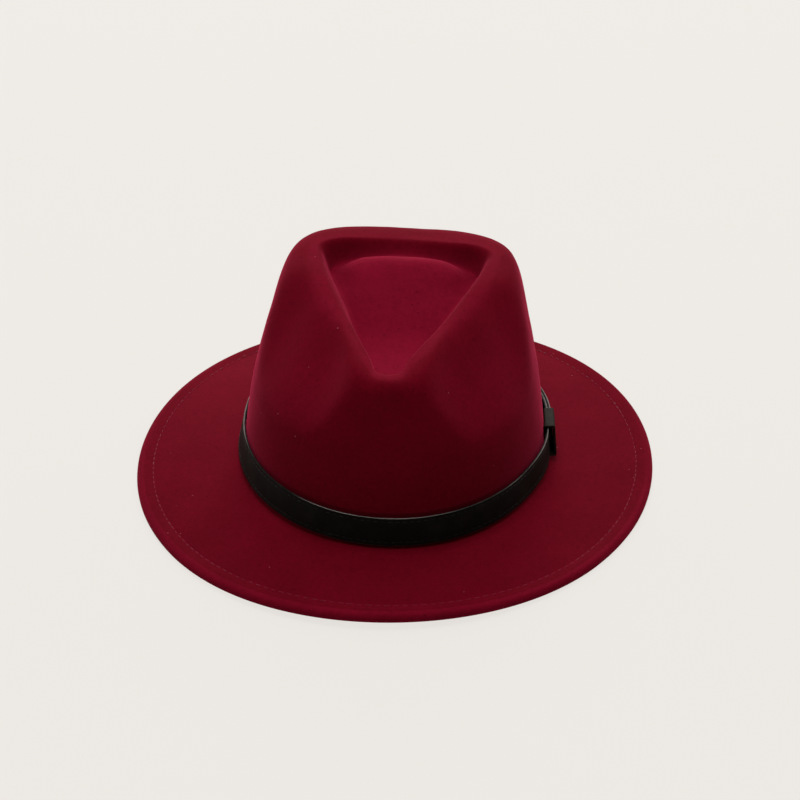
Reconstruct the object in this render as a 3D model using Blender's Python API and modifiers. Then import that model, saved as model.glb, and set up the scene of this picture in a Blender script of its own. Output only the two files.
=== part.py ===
"""A fedora. One hood of wool felt is blocked with a teardrop dent and a pinched front, and its brim
edge is folded under as a hem. A leather strap goes round the crown and through a leather keeper.

Metres, +Z up. The wearer looks along -Y, and the hat lies on its hem at z = 0.
Heights in the tables and functions of the crown are above its foot, where wall and brim would meet.
"""

import math

import bmesh
import bpy
import numpy as np

MM = 0.001

# The crown's foot is an oval, and its walls lean in from there.
CROWN_LENGTH = 210.8 * MM
CROWN_WIDTH = 168.5 * MM
CROWN_HEIGHT = 104 * MM  # of the ridge at its highest
SIDE_LEAN = 9.6  # degrees
END_LEAN = 13.5  # degrees
WALL_BULGE = 2.8 * MM  # how far the walls swell out of a straight line
BACK_CORNERS = 14 * MM  # how far the walls' top swells out of the oval at the back's two corners
FOOT_RADIUS = 3 * MM  # the turn from wall to brim
CROWN_TIP = 1.8  # degrees that the crown tips to the right on its brim

# The brim falls from the foot to its hem, which lies level.
BRIM_WIDTH = 55.6 * MM  # at the front and the back
BRIM_SIDE_EXTRA = 5 * MM  # how much wider it is at the sides
BRIM_DROP = 7.6 * MM
# Its edge lies on the table in three stretches and rises off it between them: at the front and at
# both sides of the back.
BRIM_WAVE = 3.2 * MM
LYING_SHARE = 0.06  # the share of the wave that is cut off flat where the edge lies
FELT = 2.3 * MM
HEM_WIDTH = 9 * MM
HEM_GAP = 0.4 * MM  # between the two layers of the fold

# The ridge round the dent is a teardrop in plan, its point to the front.
RIDGE_LENGTH = 133 * MM
RIDGE_WIDTH = 101 * MM
RIDGE_POINT = 76 * MM  # how far the point lies in front of the crown's middle
RIDGE_SHIFT = 0.5 * MM  # how far the teardrop lies to the right
RIDGE_TURN = -1.5  # degrees that it is turned on the crown
# Stations from the point to the back: the place along the ridge's length, the distance out as a
# share of half its width, and the height as a share of the crown's.
RIDGE_STATIONS = (
    # along, out, high
    (0.000, 0.00, 0.855),
    (0.025, 0.14, 0.857),
    (0.106, 0.22, 0.876),
    (0.246, 0.41, 0.910),
    (0.446, 0.66, 0.947),
    (0.620, 0.85, 0.985),
    (0.783, 0.96, 1.000),
    (0.896, 0.97, 1.000),
    (0.967, 0.78, 0.995),
    (0.993, 0.42, 0.990),
    (1.000, 0.00, 0.990),
)

# Stations of the dent's floor along its middle, from the point to the back: the place along the
# ridge's length and the height as a share of the crown's. The floor is domed at the back, and a
# groove runs between the dome and the dent's wall.
FLOOR_STATIONS = (
    # along, high
    (0.00, 0.755),
    (0.15, 0.750),
    (0.30, 0.756),
    (0.42, 0.785),
    (0.55, 0.853),
    (0.68, 0.922),
    (0.80, 0.970),
    (0.90, 0.978),
    (1.00, 0.965),
)
DENT_MIDDLE = 0.66  # where the floor's rings close, along the ridge's length
FLOOR_FALL = 11 * MM  # how much lower the dome's sides are than its middle
FALL_FULL = 0.7  # how far along the ridge's length the fall is complete
DENT_WALL = 13 * MM  # how far in from the ridge the dent's wall reaches
DENT_WALL_BACK = 10.5 * MM  # and at the back
WALL_ROLL = 1.6  # how long the wall stays near the ridge's height before it falls
GROOVE_DEPTH = 6 * MM  # at the back
GROOVE_WIDTH = 7 * MM
GROOVE_FROM = 0.6  # how far along the ridge's length it starts

# The two pinches are hollows in the front of the crown. The nose stands between them.
PINCH_FROM = 14  # degrees from straight ahead at which a pinch starts, beside the nose
PINCH_EDGE = 12  # degrees in which it reaches its depth there
PINCH_TO = 101  # degrees at which it ends, at the side
PINCH_FADE = 34  # degrees in which it fades there
PINCH_DEPTH = 6 * MM
PINCH_TILT = 8  # degrees below level at which the pinches are pressed in
PINCH_LOW = 0.46  # where a pinch is deepest, as a share of the shoulder's rise
NOSE_REACH = 50  # degrees in which the nose's shape gives way to the sides'
# The height at which the wall turns in towards the ridge, as a share of the crown's.
PINCH_START = 0.50
POINT_START = 0.775
SIDE_START = 0.81
# How long the shoulder keeps the wall's direction, as a share of its rise, and how long it keeps
# level beside the ridge, as a share of its reach.
SHOULDER_UP = 1.05
SHOULDER_IN = 0.50
PINCH_UP = 0.42
PINCH_IN = 0.48
POINT_UP = 0.75
POINT_IN = 0.72

# The strap runs from an end behind the keeper round the front, the left and the back, and its
# other end lies over the first one, inside the keeper.
STRAP_WIDTH = 16.8 * MM
STRAP_THICKNESS = 1.3 * MM
STRAP_RISE = 3.6 * MM  # its lower edge above the foot
STRAP_OVERLAP = 45 * MM
STRAP_STEP = 10 * MM  # the length in which the outer end comes down past the inner one
STRAP_EASE = 40 * MM  # the length in which the strap comes back to the wall past the keeper
KEEPER_WIDTH = 20 * MM
KEEPER_THICKNESS = 1.2 * MM
KEEPER_ANGLE = 92  # degrees from straight ahead
CLEARANCE = 0.3 * MM  # between pieces that lie on each other

COLUMNS = 60  # round the hood
COLUMN_LAG = 0.52  # radians by which the upper wall's columns are gathered towards the nose
LAG_SPAN = 0.62  # the share of the columns that is gathered
GATHERED_BY = 0.45  # the height at which they are, as a share of the crown's
STRAP_STATIONS = 84
SMALL_ANGLE = 0.01  # radians, for directions along the wall
SHARP_ANGLE = 40  # degrees between faces that aren't shaded as one
HEM = 2 * FELT + HEM_GAP
FOOT_Z = HEM + BRIM_DROP


def main():
    clear_scene()
    collection = bpy.data.collections.new("fedora")
    bpy.context.scene.collection.children.link(collection)
    felt = material("wool_felt", (0.120, 0.003, 0.012, 1), 0.95)
    strap = material("strap_leather", (0.006, 0.006, 0.005, 1), 0.55)
    keeper = material("keeper_leather", (0.012, 0.012, 0.010, 1), 0.6)
    make_hood(collection, felt)
    make_strap(collection, strap)
    make_keeper(collection, keeper)


def clear_scene():
    for thing in list(bpy.data.objects):
        bpy.data.objects.remove(thing)


def material(name, colour, roughness):
    made = bpy.data.materials.new(name)
    made.use_nodes = True
    made.diffuse_color = colour
    shader = made.node_tree.nodes["Principled BSDF"]
    shader.inputs["Base Color"].default_value = colour
    shader.inputs["Roughness"].default_value = roughness
    shader.inputs["Metallic"].default_value = 0.0
    return made


def smooth_step(x):
    x = np.clip(x, 0, 1)
    return x * x * (3 - 2 * x)


def smooth_curve(knots, values, at):
    """A smooth curve through the values at the knots, read at other places."""
    knots, values = np.asarray(knots, float), np.asarray(values, float)
    at = np.clip(np.asarray(at, float), knots[0], knots[-1])
    slopes = np.gradient(values, knots)
    left = np.clip(np.searchsorted(knots, at, side="right") - 1, 0, len(knots) - 2)
    span = knots[left + 1] - knots[left]
    t = (at - knots[left]) / span
    return (
        (2 * t**3 - 3 * t**2 + 1) * values[left]
        + (t**3 - 2 * t**2 + t) * span * slopes[left]
        + (3 * t**2 - 2 * t**3) * values[left + 1]
        + (t**3 - t**2) * span * slopes[left + 1]
    )


def column_shares(count):
    """One number for each column of the hood: 0 at the front, up to 1 at the back round the right
    side and down to -1 round the left."""
    return np.arange(count) * 2 / count - 1 + 1 / count


def column_angle(share):
    """The angle at which a column leaves the wall. Beside the nose the columns run steeply up to
    the ridge."""
    lag = COLUMN_LAG * np.sin(math.pi * np.clip(np.abs(share) / LAG_SPAN, 0, 1)) ** 2
    return np.sign(share) * (math.pi * np.abs(share) - lag)


def crown_oval(angle, height):
    """A plan point on the crown's wall."""
    bulge = WALL_BULGE * np.sin(math.pi * np.clip(height / (SIDE_START * CROWN_HEIGHT), 0, 1))
    half_width = CROWN_WIDTH / 2 - height * math.tan(math.radians(SIDE_LEAN)) + bulge
    half_length = CROWN_LENGTH / 2 - height * math.tan(math.radians(END_LEAN)) + bulge
    at_corner = np.sin(2 * angle) ** 2 * (np.cos(angle) < 0)
    corner = BACK_CORNERS * (height / CROWN_HEIGHT) ** 2 * at_corner
    return (half_width + corner) * np.sin(angle), -(half_length + corner) * np.cos(angle)


def brim_point(angle, out):
    """A plan point on the brim, from the foot at 0 to the edge at 1."""
    foot_x, foot_y = crown_oval(angle, 0)
    side_width = BRIM_WIDTH + BRIM_SIDE_EXTRA
    return foot_x + side_width * out * np.sin(angle), foot_y - BRIM_WIDTH * out * np.cos(angle)


def brim_lift(angle):
    wave = (1 + np.cos(3 * angle)) / 2
    return BRIM_WAVE * np.maximum(wave - LYING_SHARE, 0) / (1 - LYING_SHARE)


def brim_height(angle, out):
    """The height of the brim's top above the foot: a straight fall from the foot to the hem, level
    over the hem, and lifted by the wave."""
    level_from = 1 - HEM_WIDTH / BRIM_WIDTH
    fall = BRIM_DROP * np.minimum(out / level_from, 1)
    return brim_lift(angle) * smooth_step(out) - fall


def pinch(angle):
    """1 in the two pinches, 0 on the nose between them and at the back."""
    away = np.degrees(np.abs(angle))
    return smooth_step((away - PINCH_FROM) / PINCH_EDGE) * smooth_step((PINCH_TO - away) / PINCH_FADE)


def front(angle):
    """1 on the nose, fading to 0 at the sides."""
    return smooth_step(2 - np.degrees(np.abs(angle)) / NOSE_REACH)


def shoulder_start(angle):
    """The height at which the wall turns in towards the ridge."""
    start = SIDE_START + (POINT_START - SIDE_START) * front(angle)
    return (start + (PINCH_START - start) * pinch(angle)) * CROWN_HEIGHT


def ridge_point(share):
    """The ridge's x, y and height in each column. The columns share out the teardrop's length."""
    along, out, high = np.array(RIDGE_STATIONS).T
    knots = np.linspace(0, 1, len(along))
    fine = np.linspace(0, 1, 400)
    x = smooth_curve(knots, out, fine) * RIDGE_WIDTH / 2
    y = smooth_curve(knots, along, fine) * RIDGE_LENGTH - RIDGE_POINT
    z = smooth_curve(knots, high, fine) * CROWN_HEIGHT
    run = np.concatenate([[0], np.cumsum(np.hypot(np.diff(x), np.diff(y)))])
    at = np.abs(share) * run[-1]
    x = np.interp(at, run, x) * np.sign(share)
    return *turned(x, np.interp(at, run, y)), np.interp(at, run, z)


def tipped(x, y, z, share=1.0):
    """A point of the crown, tipped about the middle of its foot. The brim takes a share of it."""
    turn = math.radians(CROWN_TIP) * share
    return x * np.cos(turn) + z * np.sin(turn), y, z * np.cos(turn) - x * np.sin(turn)


def turned(x, y):
    """Plan coordinates on the teardrop, turned and shifted with it."""
    turn = math.radians(RIDGE_TURN)
    return (
        x * math.cos(turn) - y * math.sin(turn) + RIDGE_SHIFT,
        x * math.sin(turn) + y * math.cos(turn),
    )


def dent_middle():
    return turned(0, DENT_MIDDLE * RIDGE_LENGTH - RIDGE_POINT)


def shoulder_ring(share, t):
    """A ring between the wall at 0 and the ridge at 1. The curve leaves the wall upwards and
    reaches the ridge level, and in the pinches it is drawn in."""
    angle = column_angle(share)
    start = shoulder_start(angle)
    wall = np.stack([*crown_oval(angle, start), start])
    below = np.stack([*crown_oval(angle, start - MM), start - MM])
    upwards = (wall - below) / np.linalg.norm(wall - below, axis=0)
    top = np.stack(ridge_point(share))
    outwards = wall - top
    outwards[2] = 0
    across = np.linalg.norm(outwards, axis=0)
    outwards = outwards / across
    squeeze = pinch(angle)
    keep_up = SHOULDER_UP + (POINT_UP - SHOULDER_UP) * front(angle)
    keep_up = keep_up + (PINCH_UP - keep_up) * squeeze
    keep_in = SHOULDER_IN + (POINT_IN - SHOULDER_IN) * front(angle)
    keep_in = keep_in + (PINCH_IN - keep_in) * squeeze
    lower = wall + upwards * (top[2] - start) * keep_up
    upper = top + outwards * across * keep_in
    ring = (
        (1 - t) ** 3 * wall
        + 3 * (1 - t) ** 2 * t * lower
        + 3 * (1 - t) * t**2 * upper
        + t**3 * top
    )
    deepest_at_half = t ** (math.log(0.5) / math.log(PINCH_LOW))
    hollow = PINCH_DEPTH * squeeze * math.sin(math.pi * deepest_at_half) ** 2
    tilt = math.radians(PINCH_TILT)
    pressed = outwards * math.cos(tilt) + np.array([[0], [0], [math.sin(tilt)]])
    return ring - pressed * hollow


def floor_height(along, aside=0.0):
    """The floor's height. Aside is 0 on its middle line and 1 below the ridge."""
    knots, high = np.array(FLOOR_STATIONS).T
    fall = FLOOR_FALL * smooth_step(along / FALL_FULL) * np.square(aside)
    return smooth_curve(knots, high, along) * CROWN_HEIGHT - fall


def dent_ring(share, step):
    """A ring of the dent: steps 0 to 1 go down its wall from the ridge, and steps 1 to 2 go in
    over its floor to the middle."""
    ridge_x, ridge_y, ridge_z = ridge_point(share)
    middle_x, middle_y = dent_middle()
    to_x, to_y = middle_x - ridge_x, middle_y - ridge_y
    reach = np.hypot(to_x, to_y)
    ridge_along = (ridge_y + RIDGE_POINT) / RIDGE_LENGTH
    back = smooth_step((ridge_along - GROOVE_FROM) / (1 - GROOVE_FROM))
    wall = DENT_WALL + (DENT_WALL_BACK - DENT_WALL) * back
    inward = wall * min(step, 1) + (reach - wall) * max(step - 1, 0)
    x, y = ridge_x + to_x * inward / reach, ridge_y + to_y * inward / reach
    along = (y + RIDGE_POINT) / RIDGE_LENGTH
    down = smooth_step(inward / wall) ** WALL_ROLL
    groove = GROOVE_DEPTH * back * np.exp(-(((inward - wall) / GROOVE_WIDTH) ** 2))
    floor = floor_height(along, 2 * (x - middle_x) / RIDGE_WIDTH) - groove
    return x, y, ridge_z + (floor - ridge_z) * down


def hood_rings(columns=COLUMNS):
    """The hood's outer face as rings of points, from the hem's cut edge to the dent's middle."""
    share = column_shares(columns)
    angle = math.pi * share
    upper_angle = column_angle(share)
    lift = brim_lift(angle)
    rings = []

    def add(x, y, height, tip_share=1.0):
        x, y, height = tipped(x, y, height, tip_share)
        rings.append(np.stack([x, y, height + FOOT_Z], axis=-1))

    edge_share = 1 - HEM / 2 / BRIM_WIDTH
    for out in (1 - HEM_WIDTH / BRIM_WIDTH, 1 - HEM_WIDTH / 2 / BRIM_WIDTH):
        add(*brim_point(angle, out), lift - FOOT_Z, 0)
    for turn in (0, 36, 72, 108, 144):
        round_edge = math.radians(turn)
        out = edge_share + HEM / 2 / BRIM_WIDTH * math.sin(round_edge)
        add(*brim_point(angle, out), lift - FOOT_Z + HEM / 2 * (1 - math.cos(round_edge)), 0)
    foot_share = FOOT_RADIUS / BRIM_WIDTH
    for out in np.linspace(edge_share, foot_share, 7):
        tip_share = (1 - out) / (1 - foot_share)
        add(*brim_point(angle, out), brim_height(angle, out), min(tip_share, 1))
    outer = np.stack([*brim_point(angle, foot_share), brim_height(angle, foot_share)])
    corner = np.stack([*crown_oval(angle, 0), np.zeros(columns)])
    inner = np.stack([*crown_oval(angle, FOOT_RADIUS), np.full(columns, FOOT_RADIUS)])
    for t in (1 / 3, 2 / 3, 1):
        add(*((1 - t) ** 2 * outer + 2 * (1 - t) * t * corner + t**2 * inner))
    above_strap = STRAP_RISE + STRAP_WIDTH + MM
    gathered = GATHERED_BY * CROWN_HEIGHT
    for height in ((FOOT_RADIUS + above_strap) / 2, above_strap):
        add(*crown_oval(angle, height), height)
    for t in (0.25, 0.5, 0.75, 1):
        height = above_strap + (gathered - above_strap) * t
        add(*crown_oval(angle + (upper_angle - angle) * smooth_step(t), height), height)
    start = shoulder_start(upper_angle)
    add(*crown_oval(upper_angle, start), start)
    for t in (0.15, 0.3, 0.45, 0.6, 0.75, 0.88, 1):
        add(*shoulder_ring(share, t))
    for step in (0.2, 0.4, 0.6, 0.8, 1, 1.1, 1.2, 1.45, 1.75):
        add(*dent_ring(share, step))
    return rings


def make_hood(collection, felt):
    rings = hood_rings()
    middle = tipped(*dent_middle(), float(floor_height(DENT_MIDDLE)))
    mesh = bmesh.new()
    rows = [[mesh.verts.new(point) for point in ring] for ring in rings]
    for lower, upper in zip(rows, rows[1:]):
        join_rings(mesh, lower, upper)
    pole = mesh.verts.new((middle[0], middle[1], middle[2] + FOOT_Z))
    for one, other in zip(rows[-1], rows[-1][1:] + rows[-1][:1]):
        mesh.faces.new((one, other, pole))
    hood = finish("felt_body", mesh, collection, felt)
    wall = hood.modifiers.new("felt", "SOLIDIFY")
    wall.thickness = FELT
    wall.offset = -1
    wall.use_even_offset = True


def join_rings(mesh, lower, upper):
    """Faces between two closed rings of as many points."""
    count = len(lower)
    for i in range(count):
        j = (i + 1) % count
        mesh.faces.new((lower[i], lower[j], upper[j], upper[i]))


def finish(name, mesh, collection, surface):
    data = bpy.data.meshes.new(name)
    mesh.to_mesh(data)
    mesh.free()
    data.shade_smooth()
    data.set_sharp_from_angle(angle=math.radians(SHARP_ANGLE))
    data.materials.append(surface)
    thing = bpy.data.objects.new(name, data)
    collection.objects.link(thing)
    return thing


def stand_off(angle):
    """How far the strap's inner face stands off the wall: by the keeper's back where it passes,
    and by a clearance elsewhere."""
    keeper = math.radians(KEEPER_ANGLE)
    away = np.abs(angle - keeper)
    away = np.minimum(away, 2 * math.pi - away) / oval_angle_per_length(keeper)
    near = smooth_step(1 - (away - KEEPER_WIDTH) / STRAP_EASE)
    return CLEARANCE + (KEEPER_THICKNESS + CLEARANCE) * near


def strap_frame(angle, off):
    """The strap's section: the foot of its face, the way up the face and the way out of it, at a
    distance off the wall."""
    strap_top = STRAP_RISE + STRAP_WIDTH
    base = np.array(tipped(*crown_oval(angle, STRAP_RISE), STRAP_RISE))
    top = np.array(tipped(*crown_oval(angle, strap_top), strap_top))
    ahead = np.array(tipped(*crown_oval(angle + SMALL_ANGLE, STRAP_RISE), STRAP_RISE))
    up = (top - base) / np.linalg.norm(top - base)
    out = np.cross(ahead - base, up)
    out = out / np.linalg.norm(out)
    if out @ base < 0:
        out = -out
    return base + out * off + np.array([0, 0, FOOT_Z]), up, out


def oval_angle_per_length(angle):
    """How far the angle turns for each metre along the strap."""
    x0, y0 = crown_oval(angle - SMALL_ANGLE, STRAP_RISE)
    x1, y1 = crown_oval(angle + SMALL_ANGLE, STRAP_RISE)
    return 2 * SMALL_ANGLE / math.hypot(x1 - x0, y1 - y0)


def make_strap(collection, leather):
    keeper = math.radians(KEEPER_ANGLE)
    per_length = oval_angle_per_length(keeper)
    inner_end = keeper + STRAP_OVERLAP * per_length
    layer = STRAP_THICKNESS + CLEARANCE
    mesh = bmesh.new()
    rows = []
    for angle in np.linspace(inner_end, keeper - 2 * math.pi, STRAP_STATIONS):
        past_inner_end = (angle + 2 * math.pi - inner_end) / per_length
        over = smooth_step(2 - past_inner_end / STRAP_STEP)
        foot, up, out = strap_frame(angle, stand_off(angle) + layer * over)
        rows.append(
            [
                mesh.verts.new(foot),
                mesh.verts.new(foot + out * STRAP_THICKNESS),
                mesh.verts.new(foot + out * STRAP_THICKNESS + up * STRAP_WIDTH),
                mesh.verts.new(foot + up * STRAP_WIDTH),
            ]
        )
    for one, other in zip(rows, rows[1:]):
        join_rings(mesh, one, other)
    mesh.faces.new(rows[0][::-1])
    mesh.faces.new(rows[-1])
    bmesh.ops.recalc_face_normals(mesh, faces=mesh.faces)
    finish("leather_band", mesh, collection, leather)


def make_keeper(collection, leather):
    keeper = math.radians(KEEPER_ANGLE)
    per_length = oval_angle_per_length(keeper)
    half = KEEPER_WIDTH / 2 * per_length
    depth = 2 * STRAP_THICKNESS + 3 * CLEARANCE
    mesh = bmesh.new()
    loops = []
    for angle in np.linspace(keeper - half, keeper + half, 4):
        foot, up, out = strap_frame(angle, stand_off(angle) - CLEARANCE)
        foot = foot - up * CLEARANCE
        high = STRAP_WIDTH + 2 * CLEARANCE
        inside = [foot, foot + out * depth, foot + out * depth + up * high, foot + up * high]
        t = KEEPER_THICKNESS
        outside = [
            foot - out * t - up * t,
            foot + out * (depth + t) - up * t,
            foot + out * (depth + t) + up * (high + t),
            foot - out * t + up * (high + t),
        ]
        loops.append(([mesh.verts.new(p) for p in inside], [mesh.verts.new(p) for p in outside]))
    for (inside, outside), (next_inside, next_outside) in zip(loops, loops[1:]):
        join_rings(mesh, inside, next_inside)
        join_rings(mesh, outside, next_outside)
    for inside, outside in (loops[0], loops[-1]):
        join_rings(mesh, inside, outside)
    bmesh.ops.recalc_face_normals(mesh, faces=mesh.faces)
    finish("band_keeper", mesh, collection, leather)


if __name__ == "__main__":
    main()
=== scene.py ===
"""A wine-red wool felt fedora with a black leather strap, and the stage that it is shown on.

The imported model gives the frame. Each piece is made by an operator, from sizes and colours that the
panel in the 3D view's sidebar lists. Lengths are in metres, +Z is up and the wearer looks along -Y.
"""

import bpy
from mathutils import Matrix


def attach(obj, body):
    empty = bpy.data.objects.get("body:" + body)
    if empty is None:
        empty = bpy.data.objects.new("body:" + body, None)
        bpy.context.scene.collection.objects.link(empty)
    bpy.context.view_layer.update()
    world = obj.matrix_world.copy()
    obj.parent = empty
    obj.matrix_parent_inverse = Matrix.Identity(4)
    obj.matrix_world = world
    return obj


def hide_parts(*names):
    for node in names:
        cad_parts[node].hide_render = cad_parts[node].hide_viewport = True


bl_info = {
    "name": "Felt Fedora",
    "version": (1, 0, 0),
    "blender": (4, 5, 0),
    "location": "View3D > Sidebar > Fedora",
    "description": "Makes a felt fedora with a leather strap, and the stage that it is shown on",
    "category": "Object",
}

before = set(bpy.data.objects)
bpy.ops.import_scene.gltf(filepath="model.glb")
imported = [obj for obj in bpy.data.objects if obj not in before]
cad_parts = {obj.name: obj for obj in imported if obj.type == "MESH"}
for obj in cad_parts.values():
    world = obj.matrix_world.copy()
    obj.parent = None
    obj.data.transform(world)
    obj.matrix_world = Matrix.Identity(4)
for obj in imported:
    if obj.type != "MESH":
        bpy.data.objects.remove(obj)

import math

import bmesh
import bpy
import numpy as np
from bpy.props import FloatProperty, FloatVectorProperty, IntProperty, PointerProperty
from mathutils import Matrix, Vector, noise

MM = 0.001

# The teardrop ridge round the dent, from its point at the front to the back: the place along its
# length, the distance out as a share of half its width, the height as a share of the crown's.
RIDGE_STATIONS = (
    # along, out, high
    (0.000, 0.00, 0.855),
    (0.025, 0.14, 0.857),
    (0.106, 0.22, 0.876),
    (0.246, 0.41, 0.910),
    (0.446, 0.66, 0.947),
    (0.620, 0.85, 0.985),
    (0.783, 0.96, 1.000),
    (0.896, 0.97, 1.000),
    (0.967, 0.78, 0.995),
    (0.993, 0.42, 0.990),
    (1.000, 0.00, 0.990),
)
# The dent's floor along its middle, from the point to the back.
FLOOR_STATIONS = (
    # along, high
    (0.00, 0.755),
    (0.15, 0.750),
    (0.30, 0.756),
    (0.42, 0.785),
    (0.55, 0.853),
    (0.68, 0.922),
    (0.80, 0.982),
    (0.90, 0.990),
    (1.00, 0.965),
)
# The crown's wall: how it leans in at the sides and at the ends, how far it swells half way up,
# how far the corners of its back stand out at the top, and how it tips to the right on its brim.
SIDE_LEAN = math.tan(math.radians(9.6))
END_LEAN = math.tan(math.radians(13.5))
WALL_BULGE = 2.8 * MM
BACK_CORNERS = 14 * MM
CROWN_TIP = math.radians(1.8)
# The turn from the wall to the brim, elsewhere and at the front.
FOOT_RADIUS = 5.5 * MM
FOOT_RADIUS_FRONT = 9 * MM
# The share of the brim's wave that is cut off flat, where its edge lies on the table.
LYING_SHARE = 0.06
# The hem: the gap in its fold, how much wider it is at the front, and how strongly it still stands
# out at the back. The last two are shares.
HEM_GAP = 0.4 * MM
HEM_SPREAD = 0.27
HEM_RELIEF_BACK = 0.15
# How deep and how wide the hem's stitches pull it in, on top and below, and how far it puffs up
# between them and its edge.
PULL_DEPTH = 0.28 * MM
PULL_WIDTH = 0.55 * MM
PULL_DEPTH_BELOW = 0.2 * MM
PULL_WIDTH_BELOW = 0.5 * MM
PUFF_HEIGHT = 0.4 * MM
# The teardrop: its length and width, how far its point lies ahead of the crown's middle, its shift
# to the right, its turn, and where along it the dent's middle is.
RIDGE_LENGTH = 133 * MM
RIDGE_WIDTH = 101 * MM
RIDGE_POINT = 76 * MM
RIDGE_SHIFT = 0.5 * MM
RIDGE_TURN = math.radians(-1.5)
DENT_MIDDLE = 0.66
# The dent: how far its floor falls to the sides, and from where along it in full, the width of its
# wall at the sides and at the back, and how late that wall drops.
FLOOR_FALL = 13 * MM
FALL_FULL = 0.7
DENT_WALL = 13 * MM
DENT_WALL_BACK = 10.5 * MM
WALL_ROLL = 1.6
# The groove behind the dome.
GROOVE_DEPTH = 6 * MM
GROOVE_WIDTH = 8.5 * MM
GROOVE_FROM = 0.6
# The pinches, by the angle from straight ahead: where they start, how soon they are deep, where
# they end and over what angle they fade. The shoulder falls into them over the wider edge.
PINCH_FROM = math.radians(14)
PINCH_EDGE = math.radians(12)
PINCH_TO = math.radians(101)
PINCH_FADE = math.radians(34)
SHOULDER_EDGE = 1.9 * PINCH_EDGE
# Their depth, the tilt of the push that made them, how far up the shoulder they are deepest and the
# power that brings the middle of a wave there, and how far the nose between them reaches round.
PINCH_DEPTH = 6 * MM
PINCH_TILT = math.radians(8)
PINCH_LOW = 0.46
LOW_POWER = math.log(0.5) / math.log(PINCH_LOW)
NOSE_REACH = math.radians(50)
# Where the wall turns in towards the ridge, as a share of the crown's height, and the lengths of
# that turn's two handles, up the wall and out from the ridge: in the pinches, at the point and at
# the sides.
PINCH_START = 0.50
POINT_START = 0.775
SIDE_START = 0.81
PINCH_UP = 0.42
PINCH_IN = 0.48
POINT_UP = 0.75
POINT_IN = 0.72
SHOULDER_UP = 1.05
SHOULDER_IN = 0.50
# Beside the nose the hood's columns run askew up to the ridge: by how much at most, over what share
# of the half round, and by what share of the crown's height they are there.
COLUMN_LAG = 0.52
LAG_SPAN = 0.62
GATHERED_BY = 0.45
CREASE_SOFTNESS = 16  # how many times the crown's creases are rounded
# How freely the hem and the brim swell and sink, where the crown does so in full.
HEM_FREEDOM = 0.15
BRIM_FREEDOM = 0.5
# The felt's slow swells: how many to a metre, and how far.
SWELLS = (
    (32, 0.45 * MM),
    (95, 0.14 * MM),
)
# How much painted light lightens the felt, standing in for light and shade: at the brim's edge,
# on the hem's seam, in the pinches and on the ridge, how much less on the dent's wall and more on
# its floor, and how much less at the back.
EDGE_PAINTED_LIGHT = 0.45
SEAM_PAINTED_LIGHT = 0.6
PINCH_PAINTED_LIGHT = 0.26
RIDGE_PAINTED_LIGHT = 0.4
WALL_PAINTED_LIGHT_LESS = 0.25
FLOOR_PAINTED_LIGHT_MORE = 0.6
BACK_RIDGE_PAINTED_LIGHT_LESS = 0.15
BACK_DENT_PAINTED_LIGHT_LESS = 0.2
# Where rings lie below the hem, and on top of it with how much painted light the felt gets there.
# Both are in millimetres in from the brim's edge.
HEM_RINGS_BELOW = (9.8, 9.4, 8.9, 8.4, 7.9, 7.3, 6.4, 5.2, 4, 3.2)
HEM_RINGS_ABOVE = (
    # in, painted light
    (2.6, EDGE_PAINTED_LIGHT),
    (3.2, EDGE_PAINTED_LIGHT),
    (4, 0),
    (5, 0),
    (6, 0),
    (6.8, 0),
    (7.4, 0),
    (7.9, 0),
    (8.4, 0),
    (8.8, SEAM_PAINTED_LIGHT),
    (9.1, 0),
    (9.6, 0),
    (10.3, 0),
    (11.2, 0),
)
BRIM_FROM = 15 * MM  # in from the brim's edge, where its rings behind the hem begin
BRIM_EASE = 12 * MM  # out from the crown's foot, where the brim swells less
HEM_POINTS = 720  # along a row of the hem's stitches
CLEARANCE = 0.3 * MM  # between the pieces, and between the strap's two layers
SMALL_ANGLE = 0.01  # to both sides, where a slope is worked out
# How much further than elsewhere the strap's edges stand off the wall: the upper one at the front,
# and the lower one at the front, on the left and on the right.
UPPER_OFF_FRONT = 1.9 * MM
LOWER_OFF_FRONT = 1.0 * MM
LOWER_OFF_LEFT = 1.9 * MM
LOWER_OFF_RIGHT = 0.4 * MM
# How much of the strap's pale cut edge shows, by the direction from the hat's front in degrees.
EDGE_SHOWN = (
    (-180, 0.7),
    (-110, 0.9),
    (-75, 1.0),
    (-66, 0.6),
    (-56, 0.25),
    (-33, 0.08),
    (-26, 0.45),
    (-20, 0.9),
    (0, 0.95),
    (10, 0.7),
    (22, 0.35),
    (35, 0.3),
    (46, 0.5),
    (65, 0.7),
    (90, 0.9),
    (180, 0.7),
)
STRAP_STEP = 10 * MM  # along which the strap's outer layer comes down past the inner one's end
STRAP_EASE = 40 * MM  # along which the strap leaves the wall on its way to the keeper
# The strap in section: its corners, how deep and wide its seams are pressed in, how much thinner it
# is at its edges and how far in from them, and where between its faces the upper cut edge turns from
# pale to dark, the dark part being painted shade in the gap by the crown.
STRAP_CORNER = 0.25 * MM
SEAM_DEPTH = 0.12 * MM
SEAM_WIDTH = 0.32 * MM
EDGE_DEPTH = 0.05 * MM
EDGE_WIDTH = 0.9 * MM
PALE_TO = 0.86 * MM
PAINTED_SHADE_FROM = 0.74 * MM
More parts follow.
